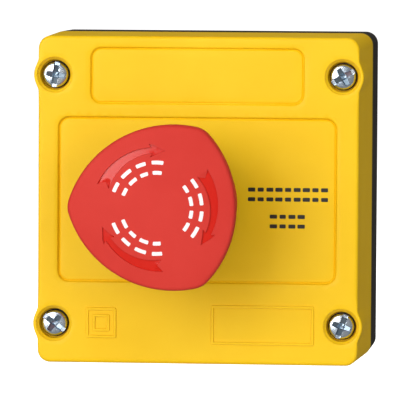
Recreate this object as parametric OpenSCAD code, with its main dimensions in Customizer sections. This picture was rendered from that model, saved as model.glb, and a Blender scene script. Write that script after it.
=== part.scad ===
// Emergency stop button in a wall box: a twist-to-release mushroom head in a two-part
// plastic enclosure, with two normally closed contact blocks behind it.
// Millimetres. Every module is drawn in a panel frame, with z out of the wall and y up.
// place() turns that frame so that the front faces -Y and +Z is up.

/* [Enclosure] */
// Width and height where the base meets the cover
box_w = 80; // [78:1:90]
// Height of the base, from the wall to the cover
base_h = 21; // [19:1:23]
// Distance from the wall to the front face
box_d = 56; // [56:1:60]
// Width of the front face
face_w = 77.7; // [76:0.1:79]
// Height of the front face
face_h = 79.2; // [76:0.1:79.5]
// Wall thickness of base and cover
wall = 3; // [2.5:0.1:3]
// Floor thickness of the base
floor_t = 2.5; // [2:0.1:3]
// Thickness of the cover's front plate
plate_t = 3; // [2.5:0.1:3.5]
// Outside corner radius
corner_r = 3; // [2:0.2:5]

/* [Front face] */
// Depth of both label recesses
recess_t = 0.6; // [0.3:0.1:1]
// Large recess: left, bottom, width, height
field = [-33.9, -19.9, 67.4, 39.9]; // [-40:0.1:80]
// Upper recess: left, bottom, width, height
label = [-26.1, 23.3, 51.6, 13.5]; // [-40:0.1:80]
// Double square mark: left, bottom, outer width, inner width
mark = [-26.7, -33.2, 6.7, 3.5]; // [-40:0.1:40]
// Empty rating frame: left, bottom, width, height
rating = [3.7, -34.5, 24.3, 8.9]; // [-40:0.1:40]

/* [Fixings] */
// Half the distance between cover screws across
screw_x = 34.9; // [34:0.1:35]
// Half the distance between cover screws up the face
screw_y = 30.15; // [28:0.1:31]
// How far each screw's slot is turned: top left, top right, bottom left, bottom right
slot_turn = [82, 30, -37, 70]; // [-90:1:90]
// Half the distance between wall holes across
wall_hole_x = 27; // [26:0.5:28]
// Half the distance between wall holes up the base
wall_hole_y = 24; // [23:0.5:25]
// Diameter of the wall holes
wall_hole_d = 4.5; // [4:0.1:5]

/* [Operator] */
// Centre of the operator, from the middle of the face
button_x = -6.5; // [-8:0.5:0]
// Diameter of the hole in the cover
panel_hole_d = 22.3; // [22.3:0.1:22.5]
// How far the button is pressed
travel = 5.5; // [4:0.5:5.5]
// Distance from the wall to the widest part of the head
rim_z = 85.6; // [85:0.1:86]
// Radius of each side of the three-sided head
side_r = 26; // [24:0.5:28]
// Radius of its corners
lobe_r = 5.5; // [5:0.1:6]
// How far each side's centre lies behind the axis
side_back = 7.4; // [7:0.1:8]

/* [Contacts] */
// Distance of each contact block from the operator's axis
block_x = 6; // [6:0.1:7]
// Width, length and height of a contact block without its lid
block = [11, 40, 22]; // [10:0.5:42]
// Where the block's underside lies above the wall
block_z = 6.5; // [6:0.1:7]
// Distance of the terminal screws from the middle of the block
terminal_y = 14.5; // [14:0.1:15]
// Distance of the contact tips from the middle of the block
tip_y = 7; // [6.5:0.1:7.5]

/* [Hidden] */
$fn = 64;
eps = 0.05;
left = -1;
right = 1;

panel_z = box_d - recess_t;
post_r = 4.8;
bulge_r = 5;
insert_r = 2.6;
insert_z = 9;
insert_h = 11;
screw_r = 1.95;
screw_head_r = 3.4;
seat_z = 52.4;
screw_seal_t = 0.5;
gasket_mid = box_w - wall;
gasket_w = 1.2;
groove_z = base_h - 1.6;
gasket_t = 1;
knockout_r = 8.2;
knockout_x = 18;

barrel_r = 10.95;
bore_r = 8.05;
stem_r = 8;
barrel_z = 34;
bezel_gasket_t = 0.8;
flange_z = panel_z + bezel_gasket_t;
flange_t = 3.6;
collar_top = 70.3;
seal_z = 67.5;
latch_z = 41;
latch_lift = 1.65;
pin_r = 1.5;
spring_plate_z = 76;
spring_plate_t = 2;
head_floor = 78.6;
skirt_z = 66;
skirt_r = 17;
skirt_t = 1.7;
guard_r = 14.75;
guard_h = 12.3;
chamber_z = 50;
neck_z = 73.9;
neck_r = 4.5;
clip_z = 72.8;
rotor_r = 2.6;
hex_af = 9;
holder_z = 30.5;
holder_t = 3;

lid_t = 2;
ledge_z = 21.2;
strip_t = 0.8;
pit_z = 9;
bridge_z = 18.9;
bridge_t = 1;
tip_t = 0.65;
pusher_top = 36.4;

// Placing

module place() { rotate([90, 0, 0]) children(); }

module on_axis() { place() translate([button_x, 0, 0]) children(); }

module at_block(side) { on_axis() translate([side * block_x, 0, 0]) children(); }

function screw_place(i) = [(i % 2 == 0 ? -1 : 1) * screw_x, (i < 2 ? 1 : -1) * screw_y, 0];

module at_screws() { for (i = [0 : 3]) translate(screw_place(i)) children(); }

module both_ends() { for (s = [-1, 1]) scale_y(s) children(); }

module scale_y(s) { if (s > 0) children(); else mirror([0, 1, 0]) children(); }

// Shared shapes

module rounded(w, h, r) {
    square([w - 2 * r, h], center = true);
    square([w, h - 2 * r], center = true);
    for (x = [-1, 1], y = [-1, 1])
        translate([x * (w / 2 - r), y * (h / 2 - r)]) circle(r);
}

module slab(w, h, r, z0, z1) {
    translate([0, 0, z0]) linear_extrude(z1 - z0) rounded(w, h, r);
}

module rim(mid, w, z0, z1) {
    difference() {
        slab(mid + w, mid + w, corner_r, z0, z1);
        slab(mid - w, mid - w, corner_r - w / 2, z0 - 1, z1 + 1);
    }
}

module tube(r_in, r_out, z0, z1) {
    translate([0, 0, z0]) difference() {
        cylinder(r = r_out, h = z1 - z0);
        translate([0, 0, -1]) cylinder(r = r_in, h = z1 - z0 + 2);
    }
}

module rod(r, z0, z1) { translate([0, 0, z0]) cylinder(r = r, h = z1 - z0); }

module box(lo, hi) { translate(lo) cube(hi - lo); }

module hexagon(af, z0, z1) {
    translate([0, 0, z0]) cylinder(r = af / sqrt(3), h = z1 - z0, $fn = 6);
}

// A corner-to-corner rectangle [left, bottom, width, height] as a recess or a raised line
module field_cut(f, r, depth) {
    translate([f[0] + f[2] / 2, f[1] + f[3] / 2, 0])
        slab(f[2], f[3], r, box_d - depth, box_d + 1);
}

module raised_line(f, line_w, height) {
    translate([f[0] + f[2] / 2, f[1] + f[3] / 2, 0]) difference() {
        slab(f[2], f[3], 0.4, box_d - 0.5, box_d + height);
        slab(f[2] - 2 * line_w, f[3] - 2 * line_w, 0.2, box_d - 1, box_d + 1);
    }
}

// A round wire wound about z, from z0 to z0 + len, with six flats round the wire
function coil_ring(i, per_turn, r, wire, lift) =
    let (a = 360 * i / per_turn)
    [for (k = [0 : 5]) let (b = 60 * k, d = r + wire * cos(b))
        [d * cos(a), d * sin(a), wire + lift * i + wire * sin(b)]];

module coil(r, wire, z0, len, turns) {
    per_turn = 16;
    n = turns * per_turn;
    lift = (len - 2 * wire) / n;
    points = [for (i = [0 : n]) each coil_ring(i, per_turn, r, wire, lift)];
    sides = [for (i = [0 : n - 1], k = [0 : 5]) let (m = (k + 1) % 6)
        [6 * i + k, 6 * i + m, 6 * i + 6 + m, 6 * i + 6 + k]];
    ends = [[for (k = [5 : -1 : 0]) k], [for (k = [0 : 5]) 6 * n + k]];
    translate([0, 0, z0]) polyhedron(points = points, faces = concat(sides, ends));
}

// Enclosure

module wall_hole_places() {
    for (x = [-1, 1], y = [-1, 1])
        translate([x * wall_hole_x, y * wall_hole_y, 0]) children();
}

// Ring cut in the outside that marks where a cable inlet is broken out
module knockout_ring(x, side) {
    translate([x, side * (box_w / 2 + 1), base_h / 2]) rotate([side * 90, 0, 0])
        tube(knockout_r - 0.6, knockout_r, 0, 2.2);
}

module base_housing() color([0.2, 0.19, 0.18]) place() difference() {
    slab(box_w, box_w, corner_r, 0, base_h);
    difference() {
        slab(box_w - 2 * wall, box_w - 2 * wall, corner_r / 2, floor_t, base_h + 1);
        at_screws() rod(post_r, 0, base_h + 2);
        wall_hole_places() rod(wall_hole_d / 2 + 2.2, 0, floor_t + 1);
    }
    rim(gasket_mid, gasket_w, groove_z, base_h + 1);
    at_screws() {
        rod(insert_r, insert_z, base_h + 1);
        rod(2.1, insert_z - 3, insert_z + 1);
    }
    wall_hole_places() rod(wall_hole_d / 2, -1, floor_t + 2);
    for (x = [-knockout_x, knockout_x], side = [-1, 1]) knockout_ring(x, side);
}

module cover_outside() {
    hull() {
        slab(box_w, box_w, corner_r, base_h, base_h + 0.4, $fn = 32);
        slab(face_w, face_h, corner_r, box_d - 0.8, box_d - 0.7, $fn = 32);
        slab(face_w - 1.2, face_h - 1.2, corner_r - 0.6, box_d - 0.1, box_d, $fn = 32);
    }
}

module cover_inside() {
    inner = 2 * wall;
    hull() {
        slab(box_w - inner, box_w - inner, corner_r / 2, base_h - 1, base_h, $fn = 32);
        slab(face_w - inner, face_h - inner, corner_r / 2,
             box_d - plate_t - 0.1, box_d - plate_t, $fn = 32);
    }
}

module cover() color([0.95, 0.72, 0.13]) place() difference() {
    union() {
        difference() {
            union() {
                cover_outside();
                at_screws() rod(bulge_r, base_h + 2, box_d);
            }
            difference() {
                cover_inside();
                at_screws() rod(post_r - 0.2, base_h - 2, box_d);
            }
        }
        rim(gasket_mid, gasket_w - 0.2, groove_z + gasket_t, base_h + 0.5);
        square_mark();
        raised_line(rating, 0.5, 0.3);
    }
    field_cut(field, 2.6, recess_t);
    field_cut(label, 2.5, recess_t);
    at_screws() {
        rod(2.25, base_h - 3, box_d + 1);
        rod(screw_head_r + 0.15, seat_z, box_d + 1);
        rod(4.3, box_d - 0.8, box_d + 1);
    }
    translate([button_x, 0, 0]) {
        rod(panel_hole_d / 2, box_d - plate_t - 1, box_d + 1);
        box([-1.6, 0, box_d - plate_t - 1], [1.6, 24.1 - panel_hole_d / 2, box_d + 1]);
    }
}

// Two squares, one inside the other
module square_mark() {
    gap = (mark[2] - mark[3]) / 2;
    raised_line([mark[0], mark[1], mark[2], mark[2]], 0.35, 0.3);
    raised_line([mark[0] + gap, mark[1] + gap, mark[3], mark[3]], 0.35, 0.3);
}

module cover_gasket() color([0.12, 0.12, 0.12]) place()
    rim(gasket_mid, gasket_w, groove_z, groove_z + gasket_t);

module cover_screws() color([0.75, 0.78, 0.82]) place() {
    head_z = seat_z + screw_seal_t;
    for (i = [0 : 3]) translate(screw_place(i)) rotate(slot_turn[i]) difference() {
        union() {
            rod(screw_head_r, head_z, head_z + 2.4);
            rod(screw_r, insert_z + 0.5, head_z + 1);
        }
        box([-5, -0.65, head_z + 1.4], [5, 0.65, head_z + 3]);
        for (a = [45, 135]) rotate(a) box([-1.9, -0.5, head_z + 1], [1.9, 0.5, head_z + 3]);
    }
}

module screw_seals() color([0.1, 0.1, 0.1]) place()
    at_screws() tube(2.3, screw_head_r + 0.1, seat_z, seat_z + screw_seal_t);

module post_inserts() color([0.8, 0.65, 0.3]) place()
    at_screws() tube(screw_r + 0.05, insert_r, insert_z, insert_z + insert_h);

// Head, which turns on the plunger

// Three rounded corners joined by bowed sides, with one corner pointing left
module trilobe(inset) {
    offset(r = lobe_r - inset, $fn = 32) intersection_for (a = [0, 120, 240])
        rotate(a) translate([-side_back, 0]) circle(side_r - lobe_r, $fn = 96);
}

module head_slice(inset, z) {
    translate([0, 0, z]) linear_extrude(0.1) trilobe(inset);
}

module head_outside() {
    hull() {
        rod(skirt_r, skirt_z + 8, skirt_z + 8.1);
        head_slice(1.3, rim_z - 3.4);
        head_slice(0.3, rim_z - 1.5);
        head_slice(0, rim_z);
        head_slice(0.05, rim_z + 2.2);
        head_slice(0.3, rim_z + 2.9);
        head_slice(0.8, rim_z + 3.35);
        head_slice(2.2, rim_z + 3.7);
        rod(12, rim_z + 4.3, rim_z + 4.4);
        rod(6, rim_z + 4.6, rim_z + 4.7);
    }
}

// Arrow recess, which points clockwise seen from the front
module head_arrow(mid_angle) {
    arrow_r = 13.6;
    sweep = 62;
    arrow_floor = rim_z + 3.75;
    rotate(mid_angle) {
        translate([0, 0, arrow_floor]) rotate(-sweep / 2 + 8)
            rotate_extrude(angle = sweep - 8) translate([arrow_r - 0.8, 0]) square([1.6, 3]);
        translate([0, 0, arrow_floor]) rotate(-sweep / 2 + 8)
            linear_extrude(3) polygon([[arrow_r - 1.6, 0], [arrow_r + 1.6, 0], [arrow_r, -3.2]]);
    }
}

module mushroom_head() color([0.85, 0.14, 0.1]) on_axis() difference() {
    union() {
        head_outside();
        rod(skirt_r, skirt_z, skirt_z + 9);
    }
    rod(skirt_r - skirt_t, skirt_z - 1, head_floor);
    tube(8.5, skirt_r - skirt_t, head_floor - 1, rim_z - 0.6);
    hexagon(hex_af + 0.1, head_floor - 1, head_floor + 5.6);
    for (a = [0, 120, 240]) head_arrow(a);
}

module rotor() color([0.85, 0.85, 0.82]) on_axis() {
    rotate_extrude() polygon([[0, 52], [rotor_r, 52], [rotor_r, clip_z + 1],
        [neck_r - eps, clip_z + 1], [neck_r - eps, 78.1], [8.4, 78.1],
        [8.4, head_floor], [0, head_floor]]);
    hexagon(hex_af, head_floor - 0.1, head_floor + 5.4);
}

module rotor_clip() color([0.6, 0.62, 0.65]) on_axis() difference() {
    tube(rotor_r, 4.9, clip_z, clip_z + 1);
    box([0, -1.6, clip_z - 1], [6, 1.6, clip_z + 2]);
}

// Plunger, which slides in the bezel

module plunger_stem() color([0.88, 0.88, 0.85]) on_axis() difference() {
    union() {
        rod(stem_r, 36.5, spring_plate_z + 1);
        rod(12.9, spring_plate_z, spring_plate_z + spring_plate_t);
    }
    rod(5.2, chamber_z, neck_z);
    rod(neck_r, neck_z - 1, spring_plate_z + 3);
    rod(3, 35, 47);
    tube(6.7, 9, seal_z - 0.85, seal_z + 0.85);
    latch_groove();
}

// Cone that the latch pins follow: it falls away as fast as the pins come in
module latch_groove() {
    slope = latch_lift / travel;
    top_r = stem_r - eps;
    low_r = top_r - slope * travel;
    rotate_extrude() polygon([[top_r, latch_z - pin_r], [low_r, latch_z - pin_r + travel],
        [low_r, latch_z + pin_r + travel + 0.2], [9, latch_z + pin_r + travel + 0.2],
        [9, latch_z - pin_r]]);
}

module stem_seal() color([0.1, 0.1, 0.1]) on_axis()
    translate([0, 0, seal_z]) rotate_extrude() translate([7.37, 0]) circle(0.67);

module return_spring() color([0.7, 0.72, 0.75]) on_axis()
    coil(12.2, 0.6, flange_z + flange_t, spring_plate_z - flange_z - flange_t, 6);

module torsion_spring() color([0.7, 0.72, 0.75]) on_axis()
    coil(4.3, 0.35, 54, 18.4, 9);

// Bezel and what clamps it to the cover

module operator_bezel() color([0.15, 0.15, 0.16]) on_axis() difference() {
    union() {
        rod(barrel_r, barrel_z, collar_top);
        translate([0, 0, flange_z]) rotate_extrude()
            polygon([[bore_r + 1, 0], [guard_r, 0], [guard_r, guard_h - 0.6],
                [guard_r - 0.6, guard_h], [guard_r - 1.35, guard_h],
                [guard_r - 1.35, flange_t], [bore_r + 1, flange_t]]);
        box([-1.2, 10, box_d - plate_t + 0.2], [1.2, 12.3, flange_z + 0.1]);
    }
    rod(bore_r, barrel_z - 1, collar_top + 1);
    translate([0, 0, latch_z]) for (a = [0, 180]) rotate(a) rotate([0, 90, 0])
        rod(pin_r + eps, 5, 13);
}

module bezel_gasket() color([0.1, 0.1, 0.1]) on_axis() difference() {
    tube(11.3, 14.4, panel_z, flange_z);
    box([-1.6, 10, panel_z - 1], [1.6, 12.6, flange_z + 1]);
}

module lock_washer() color([0.72, 0.74, 0.77]) on_axis() difference() {
    nut_top = box_d - plate_t;
    union() {
        tube(barrel_r + 0.25, 15, nut_top - 1, nut_top);
        box([-2.4, 14.5, nut_top - 1], [2.4, 17.5, nut_top]);
    }
    box([-0.8, -16, nut_top - 2], [0.8, -10, nut_top + 1]);
}

module ring_nut() color([0.78, 0.79, 0.8]) on_axis() difference() {
    tube(barrel_r + eps, 15, box_d - plate_t - 6, box_d - plate_t - 1);
    for (a = [30 : 60 : 330]) rotate(a)
        box([13.4, -1.5, box_d - plate_t - 7], [16, 1.5, box_d - plate_t - 3]);
}

module contact_holder() color([0.25, 0.27, 0.3]) on_axis() difference() {
    ring_top = 46;
    union() {
        slab(30, 42, 2, holder_z, holder_z + holder_t);
        rod(14.5, holder_z, ring_top);
        box([-17.6, -3, latch_z - 3.2], [17.6, 3, latch_z + 3.2]);
        both_ends() box([-3, block[1] / 2 + eps, 25], [3, block[1] / 2 + 1, holder_z + 1]);
    }
    rod(stem_r + 0.5, holder_z - 1, holder_z + holder_t + 1);
    rod(barrel_r + eps, holder_z + holder_t, ring_top + 1);
    translate([0, 0, latch_z]) for (a = [0, 180]) rotate(a) rotate([0, 90, 0])
        rod(1.9, 5, 16.4);
}

// A pin drawn pointing out from the axis, with a collar for its spring
module latch_pin(turn) {
    translate([0, 0, latch_z]) rotate(turn) rotate([0, 90, 0]) {
        rod(pin_r, bore_r, 13);
        rod(1.8, 12.7, 13.3);
    }
}

module latch_spring(turn) {
    translate([0, 0, latch_z]) rotate(turn) rotate([0, 90, 0])
        coil(1.1, 0.22, 13.3, 3.1, 4);
}

module latch_pin_left() color([0.8, 0.8, 0.82]) on_axis() latch_pin(180);

module latch_pin_right() color([0.8, 0.8, 0.82]) on_axis() latch_pin(0);

module latch_spring_left() color([0.7, 0.72, 0.75]) on_axis() latch_spring(180);

module latch_spring_right() color([0.7, 0.72, 0.75]) on_axis() latch_spring(0);

// Contact blocks

module block_body(side) at_block(side) difference() {
    top = block_z + block[2];
    slab(block[0], block[1], 0.8, block_z, top);
    box([-4.2, -10.5, pit_z], [4.2, 10.5, top + 1]);
    box([-4.2, -18.6, ledge_z], [4.2, 18.6, top + 1]);
    both_ends() {
        translate([0, terminal_y, 0]) rod(1.8, block_z, ledge_z + 1);
        translate([0, terminal_y, 0]) rod(3, block_z - 1, 11);
        box([-2.6, 18, 22], [2.6, 21, 25]);
    }
}

module block_lid(side) at_block(side) difference() {
    slab(block[0], block[1], 0.8, block_z + block[2], block_z + block[2] + lid_t);
    rod(1.65, block_z + block[2] - 1, block_z + block[2] + lid_t + 1);
}

module pusher(side) at_block(side) {
    rod(1.6, bridge_z + bridge_t, pusher_top);
    rod(2.4, bridge_z + bridge_t, bridge_z + bridge_t + 1.5);
}

module bridge(side) at_block(side) {
    box([-2, -8.6, bridge_z], [2, 8.6, bridge_z + bridge_t]);
    both_ends() translate([0, tip_y, 0])
        rod(1.3, bridge_z + bridge_t - 0.1, bridge_z + bridge_t + tip_t);
}

module bridge_spring(side) at_block(side) coil(2.3, 0.3, pit_z, bridge_z - pit_z, 5);

module fixed_contacts(side) at_block(side) both_ends() difference() {
    union() {
        box([-3.2, 5.3, ledge_z], [3.2, 18.4, ledge_z + strip_t]);
        translate([0, tip_y, 0]) rod(1.3, bridge_z + bridge_t + tip_t + 0.02, ledge_z + 0.1);
    }
    translate([0, terminal_y, 0]) rod(1.8, ledge_z - 1, ledge_z + 2);
}

module terminal_screws(side) at_block(side) both_ends()
    translate([0, terminal_y, 0]) difference() {
        union() {
            rod(2.7, 8.6, 11);
            rod(1.6, 10.5, 27);
        }
        box([-3, -0.4, 8], [3, 0.4, 9.6]);
        rotate(90) box([-1.7, -0.4, 8], [1.7, 0.4, 9.6]);
    }

module wire_clamps(side) at_block(side) both_ends() difference() {
    box([-3, terminal_y - 3.2, 24.2], [3, terminal_y + 3.2, 26]);
    translate([0, terminal_y, 0]) rod(1.65, 23, 27);
}

module block_body_left() color([0.2, 0.2, 0.22]) block_body(left);

module block_body_right() color([0.2, 0.2, 0.22]) block_body(right);

module block_lid_left() color([0.75, 0.1, 0.08]) block_lid(left);

module block_lid_right() color([0.75, 0.1, 0.08]) block_lid(right);

module pusher_left() color([0.9, 0.9, 0.88]) pusher(left);

module pusher_right() color([0.9, 0.9, 0.88]) pusher(right);

module bridge_left() color([0.85, 0.6, 0.35]) bridge(left);

module bridge_right() color([0.85, 0.6, 0.35]) bridge(right);

module bridge_spring_left() color([0.7, 0.72, 0.75]) bridge_spring(left);

module bridge_spring_right() color([0.7, 0.72, 0.75]) bridge_spring(right);

module fixed_contacts_left() color([0.85, 0.6, 0.35]) fixed_contacts(left);

module fixed_contacts_right() color([0.85, 0.6, 0.35]) fixed_contacts(right);

module terminal_screws_left() color([0.75, 0.77, 0.8]) terminal_screws(left);

module terminal_screws_right() color([0.75, 0.77, 0.8]) terminal_screws(right);

module wire_clamps_left() color([0.72, 0.74, 0.77]) wire_clamps(left);

module wire_clamps_right() color([0.72, 0.74, 0.77]) wire_clamps(right);

base_housing();
cover();
cover_gasket();
cover_screws();
screw_seals();
post_inserts();
mushroom_head();
rotor();
rotor_clip();
torsion_spring();
plunger_stem();
stem_seal();
return_spring();
operator_bezel();
bezel_gasket();
lock_washer();
ring_nut();
contact_holder();
latch_pin_left();
latch_pin_right();
latch_spring_left();
latch_spring_right();
block_body_left();
block_body_right();
block_lid_left();
block_lid_right();
pusher_left();
pusher_right();
bridge_left();
bridge_right();
bridge_spring_left();
bridge_spring_right();
fixed_contacts_left();
fixed_contacts_right();
terminal_screws_left();
terminal_screws_right();
wire_clamps_left();
wire_clamps_right();
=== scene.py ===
import math
import bmesh
import bpy
import numpy as np
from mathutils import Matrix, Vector
from mathutils.geometry import delaunay_2d_cdt


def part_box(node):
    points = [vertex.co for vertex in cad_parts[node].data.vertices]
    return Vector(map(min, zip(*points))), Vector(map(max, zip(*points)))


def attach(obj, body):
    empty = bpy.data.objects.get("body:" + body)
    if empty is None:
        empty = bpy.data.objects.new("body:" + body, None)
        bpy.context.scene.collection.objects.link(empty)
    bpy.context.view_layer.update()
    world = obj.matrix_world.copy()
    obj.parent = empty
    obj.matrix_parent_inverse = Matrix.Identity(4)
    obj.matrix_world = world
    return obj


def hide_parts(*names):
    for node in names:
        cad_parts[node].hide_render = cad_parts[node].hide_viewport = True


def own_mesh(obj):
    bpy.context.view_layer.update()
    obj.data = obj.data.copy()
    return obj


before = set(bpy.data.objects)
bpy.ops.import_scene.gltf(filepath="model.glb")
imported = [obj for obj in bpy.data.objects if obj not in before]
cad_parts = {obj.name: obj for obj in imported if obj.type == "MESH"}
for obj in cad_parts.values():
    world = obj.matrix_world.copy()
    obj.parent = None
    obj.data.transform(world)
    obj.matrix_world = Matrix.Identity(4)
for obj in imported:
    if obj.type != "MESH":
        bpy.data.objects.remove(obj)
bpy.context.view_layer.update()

# Pieces are worked out in millimetres in a panel frame: x right, y up, z out of the wall
mm = 0.001


def toWorld(x, y, z):
    return (x * mm, -z * mm, y * mm)


def cadDepth(name):  # distance from the wall of a node's front, in mm
    return -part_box(name)[0][1] / mm


def node(tree, kind, place=(0, 0), **settings):
    made = tree.nodes.new(kind)
    made.location = place
    for name, value in settings.items():
        setattr(made, name, value)
    return made


def link(tree, source, output, target, socket):
    tree.links.new(source.outputs[output], target.inputs[socket])


def newMaterial(name):
    made = bpy.data.materials.new(name)
    made.use_nodes = True
    return made, made.node_tree, made.node_tree.nodes["Principled BSDF"]


# The camera, the floor and the light come first
view = {"aim": (0.6, 0.2), "reach": 1200, "right": 115, "above": 66, "lens": 450, "roll": 0.33}
stageLook = {
    "floor": -90, "floorSize": 60.0, "floorGrey": 0.72, "floorRough": 0.8,
    "glow": 1.0, "glowFrom": 0.08, "glowTo": 0.42,  # how the floor fades into the backdrop, in metres
    "worldFront": 0.34, "worldBack": 0.05, "turnFrom": -0.25, "turnTo": 0.3,
    "glossLeft": 0.8, "glossRight": 0.75, "sideFrom": -0.6, "sideTo": 0.2, "backdrop": 1.0,
    "lampAim": (0, -0.05, 0),
}
lamps = {  # place and size in metres, power, colour, seen in reflections
    "keyLight": ((-0.72, -1.5, 0.34), (1.0, 1.0), 16.5, (1, 0.99, 0.97), True),
    "highFill": ((0.1, -1.5, 1.0), (1.0, 0.6), 5, (1, 1, 1), False),
    "sideFill": ((0.85, -1.4, 0.2), (1.0, 0.5), 4.5, (1, 1, 1), False),
    "backLight": ((0.1, 1.2, 1.1), (1.2, 0.7), 13, (1, 0.98, 0.95), False),
}


def makeCamera():
    front = cadDepth("cover")
    target = Vector(toWorld(view["aim"][0], view["aim"][1], front))
    data = bpy.data.cameras.new("mainCamera")
    data.lens = view["lens"]
    data.clip_start = 0.05
    data.clip_end = 100
    camera = bpy.data.objects.new("mainCamera", data)
    bpy.context.collection.objects.link(camera)
    camera.location = toWorld(view["right"], view["above"], front + view["reach"])
    camera.rotation_euler = (target - camera.location).to_track_quat("-Z", "Y").to_euler()
    camera.rotation_euler.rotate_axis("Z", math.radians(view["roll"]))
    bpy.context.scene.camera = camera


def makeLamp(name, place, size, watts, colour, shiny):
    data = bpy.data.lights.new(name, "AREA")
    data.shape = "RECTANGLE"
    data.size, data.size_y = size
    data.energy = watts
    data.color = colour
    lamp = bpy.data.objects.new(name, data)
    bpy.context.collection.objects.link(lamp)
    lamp.location = place
    aim = Vector(stageLook["lampAim"]) - lamp.location
    lamp.rotation_euler = aim.to_track_quat("-Z", "Y").to_euler()
    lamp.visible_glossy = shiny


def mapRange(tree, place, low, high, smooth=True):  # low and high are (from, to) pairs
    kind = "SMOOTHSTEP" if smooth else "LINEAR"
    made = node(tree, "ShaderNodeMapRange", place, interpolation_type=kind)
    for end, pair in (("Min", low), ("Max", high)):
        for label, number in zip(("From ", "To "), pair):
            if number is not None:
                made.inputs[label + end].default_value = number
    return made


def makeFloor():
    c = stageLook
    half, z = c["floorSize"] / 2, c["floor"] * mm
    mesh = bpy.data.meshes.new("floor")
    corners = [(-half, -half, z), (half, -half, z), (half, half, z), (-half, half, z)]
    mesh.from_pydata(corners, [], [(0, 1, 2, 3)])
    floor = bpy.data.objects.new("floor", mesh)
    bpy.context.collection.objects.link(floor)
    paint, tree, shader = newMaterial("floorPaint")
    shader.inputs["Base Color"].default_value = (c["floorGrey"], c["floorGrey"], c["floorGrey"], 1)
    shader.inputs["Roughness"].default_value = c["floorRough"]
    shader.inputs["Emission Color"].default_value = (1, 1, 1, 1)
    coord = node(tree, "ShaderNodeTexCoord", (-900, 0))
    far = node(tree, "ShaderNodeVectorMath", (-600, 0), operation="LENGTH")
    fade = mapRange(tree, (-300, 0), (c["glowFrom"], None), (c["glowTo"], c["glow"]))
    seen = node(tree, "ShaderNodeLightPath", (-600, -300))
    bright = node(tree, "ShaderNodeMath", (-100, -100), operation="MULTIPLY")
    link(tree, coord, "Object", far, 0)
    link(tree, far, "Value", fade, "Value")
    link(tree, fade, "Result", bright, 0)
    link(tree, seen, "Is Camera Ray", bright, 1)
    link(tree, bright, "Value", shader, "Emission Strength")
    mesh.materials.append(paint)
    floor.visible_glossy = False


def makeWorld():  # white to look at, softer as light, and a little darker in reflections
    c = stageLook
    world = bpy.data.worlds.new("studio")
    world.use_nodes = True
    tree = world.node_tree
    sky = tree.nodes["Background"]
    sky.inputs["Color"].default_value = (1, 1, 1, 1)
    seen = node(tree, "ShaderNodeLightPath", (-600, 0))
    way = node(tree, "ShaderNodeTexCoord", (-1200, -200))
    split = node(tree, "ShaderNodeSeparateXYZ", (-900, -200))
    soft = mapRange(tree, (-600, -200), (c["turnFrom"], c["worldFront"]), (c["turnTo"], c["worldBack"]))
    side = mapRange(tree, (-600, -500), (c["sideFrom"], c["glossLeft"]), (c["sideTo"], c["glossRight"]))
    gloss = mapRange(tree, (-300, -500), (None, 1), (None, None), smooth=False)
    dim = node(tree, "ShaderNodeMath", (-100, -300), operation="MULTIPLY")
    level = mapRange(tree, (-300, 0), (None, None), (None, c["backdrop"]), smooth=False)
    link(tree, way, "Generated", split, "Vector")
    link(tree, split, "Y", soft, "Value")
    link(tree, split, "X", side, "Value")
    link(tree, seen, "Is Glossy Ray", gloss, "Value")
    link(tree, side, "Result", gloss, "To Max")
    link(tree, soft, "Result", dim, 0)
    link(tree, gloss, "Result", dim, 1)
    link(tree, dim, "Value", level, "To Min")
    link(tree, seen, "Is Camera Ray", level, "Value")
    link(tree, level, "Result", sky, "Strength")
    bpy.context.scene.world = world
    bpy.context.scene.view_settings.view_transform = "Standard"


makeCamera()
makeFloor()
makeWorld()
for name, settings in lamps.items():
    makeLamp(name, *settings)
print("camera and stage are set")


grain = {  # a fine bump, its depth in metres, and soft patches of two near colours
    "detail": 3.0, "spread": 0.6, "depth": 0.00005,
    "patchDetail": 4.0, "patchLow": 0.35, "patchHigh": 0.65,
    "plastic": (2600, 60), "metal": (1500, 220), "rubber": (1800, 150),  # bump and patch scales
}


def grainBump(tree, shader, scale, strength):
    coord = node(tree, "ShaderNodeTexCoord", (-1100, -300))
    noise = node(tree, "ShaderNodeTexNoise", (-700, -300))
    noise.inputs["Scale"].default_value = scale
    noise.inputs["Detail"].default_value = grain["detail"]
    noise.inputs["Roughness"].default_value = grain["spread"]
    bump = node(tree, "ShaderNodeBump", (-300, -300))
    bump.inputs["Strength"].default_value = strength
    bump.inputs["Distance"].default_value = grain["depth"]
    link(tree, coord, "Object", noise, "Vector")
    link(tree, noise, "Fac", bump, "Height")
    link(tree, bump, "Normal", shader, "Normal")
    return coord, noise


def mottle(tree, shader, coord, colour, other, scale):  # two near colours in soft patches
    noise = node(tree, "ShaderNodeTexNoise", (-900, 200))
    noise.inputs["Scale"].default_value = scale
    noise.inputs["Detail"].default_value = grain["patchDetail"]
    ramp = node(tree, "ShaderNodeValToRGB", (-600, 200))
    shares = (grain["patchLow"], grain["patchHigh"])
    for element, share, shade in zip(ramp.color_ramp.elements, shares, (colour, other)):
        element.position = share
        element.color = (*shade, 1)
    link(tree, coord, "Object", noise, "Vector")
    link(tree, noise, "Fac", ramp, "Fac")
    link(tree, ramp, "Color", shader, "Base Color")


def roughSpread(tree, shader, noise, low, high):
    spread = node(tree, "ShaderNodeMapRange", (-300, 0))
    spread.inputs["To Min"].default_value = low
    spread.inputs["To Max"].default_value = high
    link(tree, noise, "Fac", spread, "Value")
    link(tree, spread, "Result", shader, "Roughness")


def plastic(name, colour, other, rough, strength=0.25, specular=0.5):
    made, tree, shader = newMaterial(name)
    shader.inputs["Specular IOR Level"].default_value = specular
    fine, patch = grain["plastic"]
    coord, noise = grainBump(tree, shader, fine, strength)
    mottle(tree, shader, coord, colour, other, patch)
    roughSpread(tree, shader, noise, rough - 0.06, rough + 0.06)
    return made


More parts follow.
